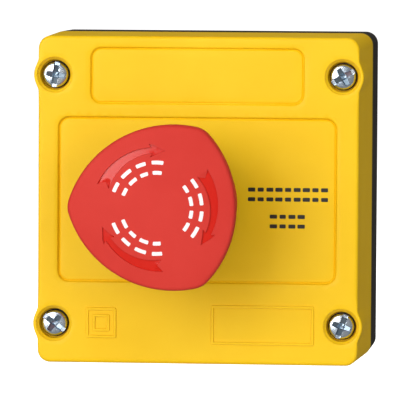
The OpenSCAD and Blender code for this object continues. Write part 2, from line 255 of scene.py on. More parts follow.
def metal(name, colour, other, rough, strength=0.1):
    made, tree, shader = newMaterial(name)
    shader.inputs["Metallic"].default_value = 1.0
    fine, patch = grain["metal"]
    coord, noise = grainBump(tree, shader, fine, strength)
    mottle(tree, shader, coord, colour, other, patch)
    roughSpread(tree, shader, noise, rough - 0.05, rough + 0.08)
    return made


def rubber(name, colour, other):
    made, tree, shader = newMaterial(name)
    shader.inputs["Specular IOR Level"].default_value = 0.3
    shader.inputs["Sheen Weight"].default_value = 0.15
    fine, patch = grain["rubber"]
    coord, noise = grainBump(tree, shader, fine, 0.4)
    mottle(tree, shader, coord, colour, other, patch)
    roughSpread(tree, shader, noise, 0.7, 0.88)
    return made


finish = {
    "yellow": plastic("yellowCover", (0.93, 0.57, 0.004), (0.96, 0.6, 0.008), 0.45,
                    strength=0.3, specular=0.25),
    "dark": plastic("darkBase", (0.045, 0.039, 0.033), (0.057, 0.049, 0.042), 0.48,
                    strength=0.35, specular=0.35),
    "red": plastic("redHead", (0.61, 0.036, 0.026), (0.64, 0.042, 0.031), 0.6,
                    strength=0.35, specular=0.16),
    "redGloss": plastic("redArrow", (0.62, 0.012, 0.004), (0.64, 0.015, 0.006), 0.2,
                    strength=0.03, specular=0.36),
    "whiteInk": plastic("whiteInk", (0.88, 0.85, 0.86), (0.92, 0.9, 0.9), 0.4, strength=0.1),
    "darkInk": plastic("darkInk", (0.02, 0.017, 0.012), (0.028, 0.024, 0.016), 0.5, strength=0.1),
    "bezel": plastic("bezelBlack", (0.02, 0.02, 0.022), (0.03, 0.03, 0.032), 0.35, strength=0.2),
    "nylon": plastic("whiteNylon", (0.78, 0.78, 0.74), (0.82, 0.82, 0.78), 0.4, strength=0.15),
    "grey": plastic("greyBlock", (0.08, 0.085, 0.09), (0.1, 0.105, 0.11), 0.42, strength=0.25),
    "blockRed": plastic("redLid", (0.5, 0.03, 0.02), (0.55, 0.04, 0.03), 0.4, strength=0.2),
    "rubber": rubber("blackRubber", (0.02, 0.02, 0.02), (0.035, 0.035, 0.035)),
    # shadedZinc is painted shade: a darker zinc laid into the screws' star recess
    "zincShade": metal("shadedZinc", (0.26, 0.36, 0.46), (0.46, 0.56, 0.66), 0.3),
    "zinc": metal("brightZinc", (0.56, 0.68, 0.82), (0.8, 0.86, 0.92), 0.24),
    "wire": metal("springWire", (0.58, 0.6, 0.63), (0.68, 0.69, 0.7), 0.3),
    "cast": metal("castZinc", (0.55, 0.56, 0.57), (0.64, 0.65, 0.66), 0.42, strength=0.3),
    "brass": metal("turnedBrass", (0.78, 0.56, 0.25), (0.85, 0.64, 0.32), 0.26),
    "contact": metal("contactAlloy", (0.8, 0.5, 0.28), (0.86, 0.6, 0.38), 0.3),
}
print("materials are made:", len(finish))


class skinMesh:  # rings and plates that are welded into one closed mesh

    def __init__(self):
        self.points = []
        self.faces = []
        self.paints = []

    def ring(self, flat, z):
        start = len(self.points)
        depths = z if hasattr(z, "__len__") else [z] * len(flat)
        self.points += [(x, y, d) for (x, y), d in zip(flat, depths)]
        return list(range(start, len(self.points)))

    def bridge(self, a, b, closed=True, paint=0, skip=()):
        count = len(a)
        for i in range(count if closed else count - 1):
            if i in skip:
                continue
            j = (i + 1) % count
            self.faces.append((a[i], a[j], b[j], b[i]))
            self.paints.append(paint)

    def tube(self, rings, paint=0):
        made = [self.ring(flat, z) for flat, z in rings]
        for a, b in zip(made, made[1:]):
            self.bridge(a, b, paint=paint)

    # fills between outlines; the extra outlines are kept as edges, and lift places (x, y, height) in space
    def plate(self, outer, holes, extra, spacing, height, lift=None, paintOf=None, clear=0.7):
        loops = [outer, *holes, *extra]
        flat = [tuple(p) for loop in loops for p in loop]
        edges = []
        start = 0
        for loop in loops:
            count = len(loop)
            edges += [(start + i, start + (i + 1) % count) for i in range(count)]
            start += count
        fixed = np.array(flat)
        low, high = fixed.min(0), fixed.max(0)
        grid = np.array([(x, y) for x in np.arange(low[0] + spacing / 2, high[0], spacing)
                         for y in np.arange(low[1] + spacing / 2, high[1], spacing)])
        if len(grid):
            far = np.array([np.min(np.hypot(*(fixed - p).T)) > clear for p in grid])
            inside = within(grid, outer)
            flat += [tuple(p) for p in grid[far & inside]]
        points, _, triangles, _, _, _ = delaunay_2d_cdt([Vector(p) for p in flat], edges, [], 0, 1e-6)
        spots = np.array([tuple(p) for p in points])
        corners = np.array([tuple(t) for t in triangles])
        centres = spots[corners].mean(1)
        keep = within(centres, outer)
        for hole in holes:
            keep &= ~within(centres, hole)
        first = len(self.points)
        tall = height(spots[:, 0], spots[:, 1]) if callable(height) else np.full(len(spots), float(height))
        for (x, y), h in zip(spots, tall):
            self.points.append(lift(x, y, h) if lift else (x, y, h))
        kept = corners[keep]
        paints = paintOf(centres[keep]) if paintOf else np.zeros(len(kept), int)
        for corner, paint in zip(kept, paints):
            self.faces.append(tuple(int(c) + first for c in corner))
            self.paints.append(int(paint))

    def build(self, name, materials, body, replaced=(), slot=None, sharp=32):
        mesh = bpy.data.meshes.new(name)
        mesh.from_pydata([toWorld(*p) for p in self.points], [], self.faces)
        for material in materials:
            mesh.materials.append(material)
        for face, paint in zip(mesh.polygons, self.paints):
            face.material_index = paint
        return settle(mesh, name, body, replaced, sharp)


# welds, turns the faces outwards, smooths what isn't a sharp edge and hands the piece to its body
def settle(mesh, name, body, replaced=(), sharp=32, weld=0.004):
    work = bmesh.new()
    work.from_mesh(mesh)
    bmesh.ops.remove_doubles(work, verts=work.verts, dist=weld * mm)
    loose = [v for v in work.verts if not v.link_faces]
    bmesh.ops.delete(work, geom=loose, context="VERTS")
    bmesh.ops.recalc_face_normals(work, faces=work.faces)
    limit = math.radians(sharp)
    for face in work.faces:
        face.smooth = True
    for edge in work.edges:
        edge.smooth = edge.calc_face_angle(math.pi) < limit if len(edge.link_faces) == 2 else False
    openEdges = sum(1 for e in work.edges if len(e.link_faces) != 2)
    print(f"{name}: {len(work.faces)} faces, {openEdges} open edges")
    work.to_mesh(mesh)
    work.free()
    piece = bpy.data.objects.new(name, mesh)
    bpy.context.collection.objects.link(piece)
    if body is None:
        return piece
    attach(piece, body)
    if replaced:
        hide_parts(*replaced)
    return piece


def within(spots, loop):  # which of the spots lie inside an outline
    a = np.array(loop)
    b = np.roll(a, -1, axis=0)
    hit = np.zeros(len(spots), bool)
    x, y = spots[:, 0], spots[:, 1]
    for (x1, y1), (x2, y2) in zip(a, b):
        if y1 == y2:
            continue
        crosses = (y1 > y) != (y2 > y)
        hit ^= crosses & (x < (x2 - x1) * (y - y1) / (y2 - y1) + x1)
    return hit


def circle(cx, cy, r, count=48, start=0.0):
    return [(cx + r * math.cos(start + 2 * math.pi * i / count),
             cy + r * math.sin(start + 2 * math.pi * i / count)) for i in range(count)]


# a rectangle with round corners, anticlockwise from its lower right
def roundedLoop(cx, cy, w, h, r, perSide=14, perCorner=8, perRise=None):
    points = []
    sides = [((1, -1), -90), ((1, 1), 0), ((-1, 1), 90), ((-1, -1), 180)]
    for (sx, sy), begin in sides:
        mx, my = cx + sx * (w / 2 - r), cy + sy * (h / 2 - r)
        for i in range(perCorner + 1):
            a = math.radians(begin + 90 * i / perCorner)
            points.append((mx + r * math.cos(a), my + r * math.sin(a)))
    out = []
    for i, p in enumerate(points):  # the straight sides get points of their own
        q = points[(i + 1) % len(points)]
        out.append(p)
        if (i + 1) % (perCorner + 1) == 0:
            upright = (i // (perCorner + 1)) % 2 == 0
            count = perRise if upright and perRise else perSide
            out += [(p[0] + (q[0] - p[0]) * k / count, p[1] + (q[1] - p[1]) * k / count)
                    for k in range(1, count)]
    return out


def ease(t):
    t = np.clip(t, 0, 1)
    return t * t * (3 - 2 * t)


# how far inside a rounded rectangle a spot lies; negative outside
def roundedDistance(x, y, cx, cy, w, h, r):
    qx, qy = np.abs(x - cx) - (w / 2 - r), np.abs(y - cy) - (h / 2 - r)
    outside = np.hypot(np.maximum(qx, 0), np.maximum(qy, 0))
    return r - outside - np.minimum(np.maximum(qx, qy), 0)


cover = {
    "backWidth": 80, "faceWidth": 77.7, "faceHeight": 79.2, "corner": 3.0, "wall": 3.0,
    "screwX": 34.9, "screwY": 30.15, "bulge": 5.08, "edge": 0.85, "bulgeEdge": 0.42,
    "plate": 3.0, "seat": 52.4, "counterbore": 4.3, "headHole": 3.7, "bore": 2.25, "post": 4.6,
    "recess": 0.6, "slope": 0.36, "groove": 0.4, "dip": 0.36,
    "field": (-0.2, 0.05, 67.4, 39.9, 2.6), "label": (-0.3, 30.05, 51.6, 13.5, 2.5),
    "mark": (-23.35, -29.85, 6.7, 3.5), "rating": (15.85, -30.05, 24.3, 8.9),
    "lineWidth": 0.5, "lineHeight": 0.34, "lineCorner": 0.12,
    "hole": 11.15, "notch": 3.2, "notchTop": 12.95, "buttonX": -6.5,
}
baseTop = cadDepth("base_housing")
faceTop = cadDepth("cover") - 0.3


# how far the wall stands from the middle at height y, with the round screw bulges blended in
def bulgeSide(y, halfWidth, c):
    away = np.minimum(np.abs(y - c["screwY"]), np.abs(y + c["screwY"]))
    bulged = np.where(away < c["bulge"], np.sqrt(np.maximum(c["bulge"] ** 2 - away ** 2, 0)),
                      -4 * (away - c["bulge"]))
    reach = c["screwX"] + bulged - halfWidth
    blend = float(np.clip(1.1 * (39.96 - halfWidth), 0.02, 0.9))
    lift = np.maximum(reach, 0) + np.maximum(blend - np.abs(reach), 0) ** 2 / (4 * blend)
    return halfWidth + lift


def sideStations(c):  # heights along a side, closer together around the bulges
    limit = c["faceHeight"] / 2 - c["corner"]
    spots = set(np.round(np.linspace(-limit, limit, 37), 3))
    near = np.linspace(-6.4, 6.4, 49)
    for sign in (-1, 1):
        screwLine = sign * c["screwY"]
        spots = {s for s in spots if abs(s - screwLine) > 6.6}
        spots |= {round(float(screwLine + n), 3) for n in near if abs(screwLine + n) < limit}
    spots |= {round(-limit, 3), round(limit, 3)}
    return np.array(sorted(spots))


# the outside at one distance from the wall, anticlockwise from the lower right
def coverOutline(z, c):
    t = (z - baseTop) / (faceTop - baseTop)
    w = c["backWidth"] + (c["faceWidth"] - c["backWidth"]) * t
    h = c["backWidth"] + (c["faceHeight"] - c["backWidth"]) * t
    r = c["corner"]
    stations = sideStations(c) * (h / 2 - r) / (c["faceHeight"] / 2 - r)
    right = bulgeSide(stations, w / 2, c)
    side = list(zip(right, stations))
    corner = [math.radians(90 * i / 10) for i in range(1, 10)]
    top = np.linspace(w / 2 - r, -(w / 2 - r), 31)
    points = list(side)
    points += [(w / 2 - r + r * math.cos(a), h / 2 - r + r * math.sin(a)) for a in corner]
    points += [(x, h / 2) for x in top]
    points += [(-(w / 2 - r) - r * math.sin(a), h / 2 - r + r * math.cos(a)) for a in corner]
    points += [(-x, -y) for x, y in side]
    points += [(-(w / 2 - r) - r * math.cos(a), -(h / 2 - r) - r * math.sin(a)) for a in corner]
    points += [(-x, -h / 2) for x in top]
    points += [(w / 2 - r + r * math.sin(a), -(h / 2 - r) - r * math.cos(a)) for a in corner]
    return np.array(points)


def inwards(points):  # unit vectors that point into an anticlockwise outline
    ahead = np.roll(points, -1, axis=0) - np.roll(points, 1, axis=0)
    ahead /= np.maximum(np.hypot(*ahead.T), 1e-9)[:, None]
    return np.stack([-ahead[:, 1], ahead[:, 0]], axis=1)


# the front face: two recesses with a fine groove at their foot, and raised lines
def faceHeight(x, y, c):
    out = faceTop - c["dip"] * (1 - ease((np.abs(x) - 3) / 30))
    floor = faceTop - c["recess"]
    z = np.array(out, float)
    for key in ("field", "label"):
        d = roundedDistance(x, y, *c[key])
        t = ease((d + c["slope"]) / (2 * c["slope"]))
        z = z * (1 - t) + floor * t
        z = z - c["groove"] * np.clip(1 - np.abs(d - c["slope"] * 0.6) / (c["slope"] * 1.1), 0, 1)
    for cx, cy, w, h in lineBoxes(c):
        d = np.abs(roundedDistance(x, y, cx, cy, w, h, c["lineCorner"]))
        z = z + c["lineHeight"] * np.clip((c["lineWidth"] / 2 + 0.12 - d) / 0.12, 0, 1)
    return z


def lineBoxes(c):
    cx, cy, outer, inner = c["mark"]
    rx, ry, rw, rh = c["rating"]
    return [(cx, cy, outer, outer), (cx, cy, inner, inner), (rx, ry, rw, rh)]


def operatorHole(c):
    half, top = c["notch"] / 2, c["notchTop"]
    begin = math.acos(half / c["hole"])
    gap = math.pi - 2 * begin
    turn = [begin + gap + (2 * math.pi - gap) * i / 60 for i in range(61)]
    arc = [(c["buttonX"] + c["hole"] * math.cos(a), c["hole"] * math.sin(a)) for a in turn]
    return arc + [(c["buttonX"] + half, top), (c["buttonX"] - half, top)]


# the inside wall with the screw posts standing in from its sides
def innerOutline(halfW, halfH, r, post, c):
    points = []
    quarter = [math.radians(90 * i / 6) for i in range(7)]
    for sx in (1, -1):
        reach = math.sqrt(post ** 2 - (halfW - c["screwX"]) ** 2)
        swing = math.atan2(reach, halfW - c["screwX"])
        for sign in (-1, 1):
            cy = sign * c["screwY"]
            if sign == -1:
                points += [(sx * (halfW - r + r * math.sin(a)), sx * (-(halfH - r) - r * math.cos(a)))
                           for a in quarter]
            arc = [swing + (2 * math.pi - 2 * swing) * i / 26 for i in range(27)]
            points += [(sx * (c["screwX"] + post * math.cos(a)), sx * (cy - post * math.sin(a)))
                       for a in arc]
            if sign == -1:
                points += [(sx * halfW, sx * y) for y in np.linspace(-22, 22, 13)]
        points += [(sx * (halfW - r + r * math.cos(a)), sx * (halfH - r + r * math.sin(a)))
                   for a in quarter]
        points += [(sx * x, sx * halfH) for x in np.linspace(halfW - r - 3, -(halfW - r - 3), 13)]
    return points


def screwSpots(c):
    return [(sx * c["screwX"], sy * c["screwY"]) for sx, sy in ((-1, 1), (1, 1), (-1, -1), (1, -1))]


def makeCover():
    c = cover
    shell = skinMesh()
    levels = [baseTop, baseTop + 0.25, baseTop + 4, baseTop + 10, baseTop + 17, baseTop + 24,
              faceTop - 4, faceTop - 1.6, faceTop - c["edge"]]
    rings = []
    for i, z in enumerate(levels):
        outline = coverOutline(z, c)
        if i == 0:
            outline = outline + inwards(outline) * 0.25
        rings.append(shell.ring(outline, z))
    edgeLine = coverOutline(faceTop - c["edge"], c)
    away = np.minimum(np.abs(edgeLine[:, 1] - c["screwY"]), np.abs(edgeLine[:, 1] + c["screwY"]))
    nearBulge = (1 - ease((away - 4.2) / 3.5)) * (np.abs(edgeLine[:, 0]) > 37)
    radius = c["edge"] + (c["bulgeEdge"] - c["edge"]) * nearBulge
    front = faceHeight(edgeLine[:, 0], edgeLine[:, 1], c)
    pull = inwards(edgeLine)
    for a in (15, 32, 50, 70, 90):
        s, k = math.sin(math.radians(a)), 1 - math.cos(math.radians(a))
        flat = edgeLine + pull * (radius * k)[:, None]
        depth = (front - radius) * (1 - s) + front * s if a > 15 else front - radius + radius * s
        rings.append(shell.ring(flat, list(depth)))
        last = flat
    for a, b in zip(rings, rings[1:]):
        shell.bridge(a, b)
    extra = []
    for key in ("field", "label"):
        cx, cy, w, h, r = c[key]
        for off in (-1.0, -0.55, 0.0, 0.45, 0.8, 1.5):
            d = off * c["slope"]
            extra.append(roundedLoop(cx, cy, w - 2 * d, h - 2 * d, r - d, perSide=26))
    for cx, cy, w, h in lineBoxes(c):
        for d in (-c["lineWidth"] / 2 - 0.12, -c["lineWidth"] / 2, c["lineWidth"] / 2,
                  c["lineWidth"] / 2 + 0.12):
            extra.append(roundedLoop(cx, cy, w - 2 * d, h - 2 * d, max(c["lineCorner"] - d, 0.04), 4, 3))
    lip = c["counterbore"] + 0.15
    bores = [circle(x, y, lip, 64) for x, y in screwSpots(c)]
    hole = operatorHole(c)
    shell.plate([tuple(p) for p in last], [*bores, hole], extra, 1.25,
                lambda x, y: faceHeight(x, y, c), clear=0.5)
    for x, y in screwSpots(c):
        top = list(faceHeight(np.array([p[0] for p in circle(x, y, lip, 64)]),
                              np.array([p[1] for p in circle(x, y, lip, 64)]), c))
        steps = [(lip, top), (lip - 0.08, [t - 0.04 for t in top]), (c["counterbore"], faceTop - 0.2),
                 (c["headHole"] + 0.16, faceTop - 0.85), (c["headHole"] + 0.05, faceTop - 0.95),
                 (c["headHole"], faceTop - 1.1), (c["headHole"], c["seat"] + 0.1),
                 (c["headHole"] - 0.1, c["seat"]), (c["bore"], c["seat"]), (c["bore"], baseTop)]
        shell.tube([(circle(x, y, r, 64), z) for r, z in steps])
    ceiling = faceTop - c["plate"]
    floorZ = list(faceHeight(np.array([p[0] for p in hole]), np.array([p[1] for p in hole]), c))
    shell.tube([(hole, floorZ), (hole, ceiling)])
    inner = []
    for z in (baseTop, ceiling):
        t = (z - baseTop) / (faceTop - baseTop)
        w = (c["backWidth"] + (c["faceWidth"] - c["backWidth"]) * t) / 2 - c["wall"]
        h = (c["backWidth"] + (c["faceHeight"] - c["backWidth"]) * t) / 2 - c["wall"]
        inner.append(innerOutline(w, h, c["corner"] / 2, c["post"], c))
    shell.tube([(inner[0], baseTop), (inner[1], ceiling)])
    shell.plate(inner[1], [hole], [], 6, ceiling)
    rim = coverOutline(baseTop, c)
    rim = rim + inwards(rim) * 0.25
    tongue = [(78.2, 2.6, 0), (78.0, 2.5, 0.6), (76.0, 1.6, 0.6), (75.8, 1.5, 0)]
    loops = [roundedLoop(0, 0, w, w, r) for w, r, _ in tongue]

    def rimHeight(x, y):
        d = roundedDistance(x, y, 0, 0, 77, 77, 2.1)
        return baseTop - 0.6 * np.clip((0.6 - np.abs(d)) / 0.1, 0, 1)

    small = [circle(x, y, c["bore"], 64) for x, y in screwSpots(c)]
    shell.plate([tuple(p) for p in rim], [inner[0], *small], loops, 8, rimHeight)
    return shell.build("coverShell", [finish["yellow"]], "housing", ["cover"], "yellow_plastic")


makeCover()

head = {
    "x": -6.5, "sideRadius": 26, "lobe": 5.5, "back": 7.4, "skirt": 17, "skirtInner": 15.3,
    "skirtFrom": 66, "flareFrom": 74, "flare": 1.35,
    "floor": 78.6, "hub": 8.5, "hubTo": 85, "socket": 9.1, "socketTop": 84.2,
    "crown": 90.3, "shoulder": 89.06, "shoulderInset": 0.75,
    "rim": [(1.3, 82.2), (0.72, 83.2), (0.28, 84.2), (0.06, 85.0), (0, 85.6), (0, 87.7), (0.04, 88.15),
            (0.13, 88.5), (0.28, 88.76), (0.48, 88.94), (0.75, 89.06)],
    "arrowRadius": 13.6, "arrowSweep": 77, "arrowAt": (-1, 120, 238), "arrowDepth": 0.46,
    "tail": 1.5, "neck": 0.72, "barb": 1.6, "tipLength": 3.3, "notch": 1.3,
    "ringPoints": 180,
}


def lobedOutline(inset, c):  # the three-sided outline, point by point of its turning direction
    core = c["sideRadius"] - c["lobe"]
    corner = (-c["back"] + math.sqrt(4 * core ** 2 - 3 * c["back"] ** 2)) / 2
    limit = math.degrees(math.atan2(corner * math.sin(math.pi / 3), corner / 2 + c["back"]))
    off = c["lobe"] - inset
    points = []
    for i in range(c["ringPoints"]):
        turn = 360 * i / c["ringPoints"]
        side = round(turn / 120) * 120
        past = turn - side
        a, m = math.radians(turn), math.radians(side)
        if abs(past) <= limit:
            points.append((-c["back"] * math.cos(m) + (core + off) * math.cos(a),
                           -c["back"] * math.sin(m) + (core + off) * math.sin(a)))
        else:
            k = math.radians(side + (60 if past > 0 else -60))
            points.append((corner * math.cos(k) + off * math.cos(a),
                           corner * math.sin(k) + off * math.sin(a)))
    return [(x + c["x"], y) for x, y in points]


def crownHeight(x, y, c):
    edge = np.array(lobedOutline(c["shoulderInset"], c)) - (c["x"], 0)
    turn = np.arctan2(edge[:, 1], edge[:, 0])
    order = np.argsort(turn)
    reach = np.interp(np.arctan2(y, np.asarray(x) - c["x"]), turn[order], np.hypot(*edge[order].T),
                      period=2 * math.pi)
    share = np.hypot(np.asarray(x) - c["x"], y) / reach
    return c["crown"] - (c["crown"] - c["shoulder"]) * np.minimum(share, 1) ** 2.4


def arrowOutline(middle, grow, c):  # a clockwise arrow with a swallow tail, grown all round
    r, half = c["arrowRadius"], math.radians(c["arrowSweep"] / 2)
    start, end = math.radians(middle) + half + grow / r, math.radians(middle) - half - 1.8 * grow / r
    neckAt = math.radians(middle) - half + c["tipLength"] / r + grow * 0.6 / r
    shaft = [(start + (neckAt - start) * i / 20) for i in range(21)]
    width = [c["neck"] + (c["tail"] - c["neck"]) * (1 - i / 20) ** 1.4 + grow for i in range(21)]
    outer = [(a, r + w) for a, w in zip(shaft, width)]
    inner = [(a, r - w) for a, w in zip(shaft, width)]
    barb = c["barb"] + 1.3 * grow
    loop = outer + [(neckAt + 0.03, r + barb), (neckAt - 0.05, r + barb * 0.72), (end, r)]
    loop += [(neckAt - 0.05, r - barb * 0.72), (neckAt + 0.03, r - barb)] + inner[::-1]
    loop += [(start - (c["notch"] + grow) / r, r - 0.1)]
    points = [(c["x"] + d * math.cos(a), d * math.sin(a)) for a, d in loop]
    return points[::-1]


def headHeight(x, y, c):
    z = crownHeight(x, y, c)
    spots = np.stack([x, y], axis=1)
    for middle in c["arrowAt"]:
        z = np.where(within(spots, arrowOutline(middle, -0.03, c)), z - c["arrowDepth"], z)
    return z


def makeHead():
    c = head
    skin = skinMesh()
    turned = circle(c["x"], 0, c["skirt"], c["ringPoints"])
    rings = [(circle(c["x"], 0, c["skirtInner"] + 0.3, c["ringPoints"]), c["skirtFrom"]),
             (circle(c["x"], 0, c["skirt"] - 0.3, c["ringPoints"]), c["skirtFrom"]),
             (circle(c["x"], 0, c["skirt"] - 0.08, c["ringPoints"]), c["skirtFrom"] + 0.08),
             (turned, c["skirtFrom"] + 0.3), (turned, c["flareFrom"])]
    firstInset, firstZ = c["rim"][0]
    first = np.array(lobedOutline(firstInset, c))
    for i in range(1, 8):
        t = i / 8
        share, z = t ** c["flare"], c["flareFrom"] + (firstZ - c["flareFrom"]) * t
        rings.append((np.array(turned) * (1 - share) + first * share, z))
    rings += [(lobedOutline(inset, c), z) for inset, z in c["rim"]]
    skin.tube(rings)
    extra = []
    for middle in c["arrowAt"]:
        extra += [arrowOutline(middle, grow, c) for grow in (0.0, -0.06)]

    def paintOf(centres):
        inside = np.zeros(len(centres), bool)
        for middle in c["arrowAt"]:
            inside |= within(centres, arrowOutline(middle, -0.05, c))
        return inside.astype(int)

    skin.plate(lobedOutline(c["shoulderInset"], c), [], extra, 0.8, lambda x, y: headHeight(x, y, c),
               paintOf=paintOf, clear=0.28)
    count = c["ringPoints"]
    hexagon = []
    for i in range(count):
        a = 2 * math.pi * i / count
        away = (a + math.pi / 6) % (math.pi / 3) - math.pi / 6
        reach = c["socket"] / 2 / math.cos(away)
        hexagon.append((c["x"] + reach * math.cos(a), reach * math.sin(a)))
    inner = circle(c["x"], 0, c["skirtInner"], count)
    hub = circle(c["x"], 0, c["hub"], count)
    centre = circle(c["x"], 0, 0.4, count)
    skin.tube([(rings[0][0], c["skirtFrom"]), (inner, c["skirtFrom"] + 0.3),
               (inner, c["hubTo"]), (hub, c["hubTo"]), (hub, c["floor"]), (hexagon, c["floor"]),
               (hexagon, c["socketTop"]), (centre, c["socketTop"])])
    skin.plate(centre, [], [], 5, c["socketTop"])
    looks = [finish["red"], finish["redGloss"]]
    return skin.build("headShell", looks, "head", ["mushroom_head"], "red_plastic", 38)


makeHead()

# All printing is kept to plain dashes
inkMarks = {
    "rise": 0.05, "sink": 0.06,
    "headGroups": (121, 1, 239), "headSpan": 21.5, "headInner": 7.9, "headOuter": 11.2, "headBlocks": 4,
    "headWidth": 15.0, "headSplit": 0.46,
    "rows": [(12.1, 31.6, 0.0, 3.3, 9), (17.4, 26.0, -6.5, -3.2, 4)], "gap": 0.36, "rowSplit": 0.42,
}


def inkBlock(skin, outline, height, rise, sink):
    x, y = np.array([p[0] for p in outline]), np.array([p[1] for p in outline])
    level = height(x, y)
    skin.tube([(outline, list(level + rise)), (outline, list(level - sink))])
    skin.plate(outline, [], [], 9, lambda x, y: height(x, y) + rise)
    skin.plate(outline, [], [], 9, lambda x, y: height(x, y) - sink)


def blockOutline(w, h, r=0.22):
    return roundedLoop(0, 0, w, h, min(r, w / 2.2, h / 2.2), 5, 4, 1)


def makeHeadPrint():
    c, h = inkMarks, head
    skin = skinMesh()
    mid = (c["headInner"] + c["headOuter"]) / 2
    tall = (c["headOuter"] - c["headInner"]) * (1 - c["headSplit"]) / 2
    for group in c["headGroups"]:
        for i in range(c["headBlocks"]):
            at = group - (i - (c["headBlocks"] - 1) / 2) * c["headSpan"]
            for side in (-1, 1):
                r0 = mid + side * ((c["headOuter"] - c["headInner"]) - tall) / 2
                wide = math.radians(c["headWidth"]) * r0 * (1.0 if i % 2 else 0.86)
                points = []
                for u, v in blockOutline(wide, tall):
                    a, d = math.radians(at) - u / r0, r0 + v
                    points.append((h["x"] + d * math.cos(a), d * math.sin(a)))
                inkBlock(skin, points, lambda x, y: crownHeight(x, y, h), c["rise"], c["sink"])
    return skin.build("headPrint", [finish["whiteInk"]], "head")


def makeFacePrint():
    c = inkMarks
    skin = skinMesh()
    for left, right, low, high, count in c["rows"]:
        pitch = (right - left + c["gap"]) / count
        tall = (high - low) * (1 - c["rowSplit"]) / 2
        for i in range(count):
            wide = (pitch - c["gap"]) * (0.95, 0.8, 0.9)[i % 3]
            cx = left + pitch * (i + 0.5) - c["gap"] / 2
            for cy in (low + tall / 2, high - tall / 2):
                points = [(cx + u, cy + v) for u, v in blockOutline(wide, tall)]
                inkBlock(skin, points, lambda x, y: faceHeight(x, y, cover), c["rise"], c["sink"])
    return skin.build("facePrint", [finish["darkInk"]], "housing")


makeHeadPrint()
makeFacePrint()


def newTree(name, inputs):
    tree = bpy.data.node_groups.new(name, "GeometryNodeTree")
    for label, kind in inputs:
        tree.interface.new_socket(label, in_out="INPUT", socket_type=kind)
    tree.interface.new_socket("Geometry", in_out="OUTPUT", socket_type="NodeSocketGeometry")
    start = node(tree, "NodeGroupInput", (-900, 0))
    end = node(tree, "NodeGroupOutput", (900, 0))
    return tree, start, end


def bakeTree(tree, holder, values):  # sets the named inputs, evaluates the tree and keeps a plain mesh
    modifier = holder.modifiers.new("build", "NODES")
    modifier.node_group = tree
    for item in tree.interface.items_tree:
        if item.item_type == "SOCKET" and item.in_out == "INPUT" and item.name in values:
            modifier[item.identifier] = values[item.name]
    bpy.context.view_layer.update()
    graph = bpy.context.evaluated_depsgraph_get()
    mesh = bpy.data.meshes.new_from_object(holder.evaluated_get(graph))
    holder.modifiers.remove(modifier)
    bpy.data.objects.remove(holder)
    return mesh


screw = {
    "head": 3.08, "headFrom": 52.9, "headTop": 55.0, "dome": 0.25, "edge": 0.6,
    "slot": 0.6, "slotDepth": 0.8, "arm": 0.6, "armReach": 2.2, "starDepth": 1.9, "soft": 0.07,
    "shank": 1.93, "root": 1.55, "pitch": 0.8, "tip": 9.6, "threadTo": 22,
    "under": 0.965, "turns": (82, 30, -37, 70),
}


def screwTop(x, y, c):
    r = np.hypot(x, y)
    z = c["headTop"] - c["dome"] * (r / c["head"]) ** 2
    rim = np.clip((r - (c["head"] - c["edge"])) / c["edge"], 0, 1)
    z = z - c["edge"] * (1 - np.sqrt(np.maximum(1 - rim ** 2, 0)))
    slot = np.clip((c["slot"] + c["soft"] - np.abs(y)) / (2 * c["soft"]), 0, 1)
    z = np.minimum(z, z * (1 - slot) + (c["headTop"] - c["slotDepth"]) * slot)
    for u, v in ((x, y), (y, x)):
        taper = c["arm"] * (1.25 - 0.45 * np.abs(u) / c["armReach"])
        cut = np.clip((taper + c["soft"] - np.abs(v)) / (2 * c["soft"]), 0, 1)
        cut = cut * np.clip((c["armReach"] + c["soft"] - np.abs(u)) / (2 * c["soft"]), 0, 1)
        deep = c["headTop"] - c["starDepth"] * (1 - 0.45 * np.abs(u) / c["armReach"])
        z = np.where(cut > 0, np.minimum(z, z * (1 - cut) + deep * cut), z)
    return z


# marks the star recess, which gets the darker zinc of painted shade
def inStar(spots, c):
    x, y = np.abs(spots[:, 0]), np.abs(spots[:, 1])
    inside = np.zeros(len(spots), bool)
    for u, v in ((x, y), (y, x)):
        inside |= (u < c["armReach"]) & (v < c["arm"] * (1.25 - 0.45 * u / c["armReach"]))
    return inside.astype(int)


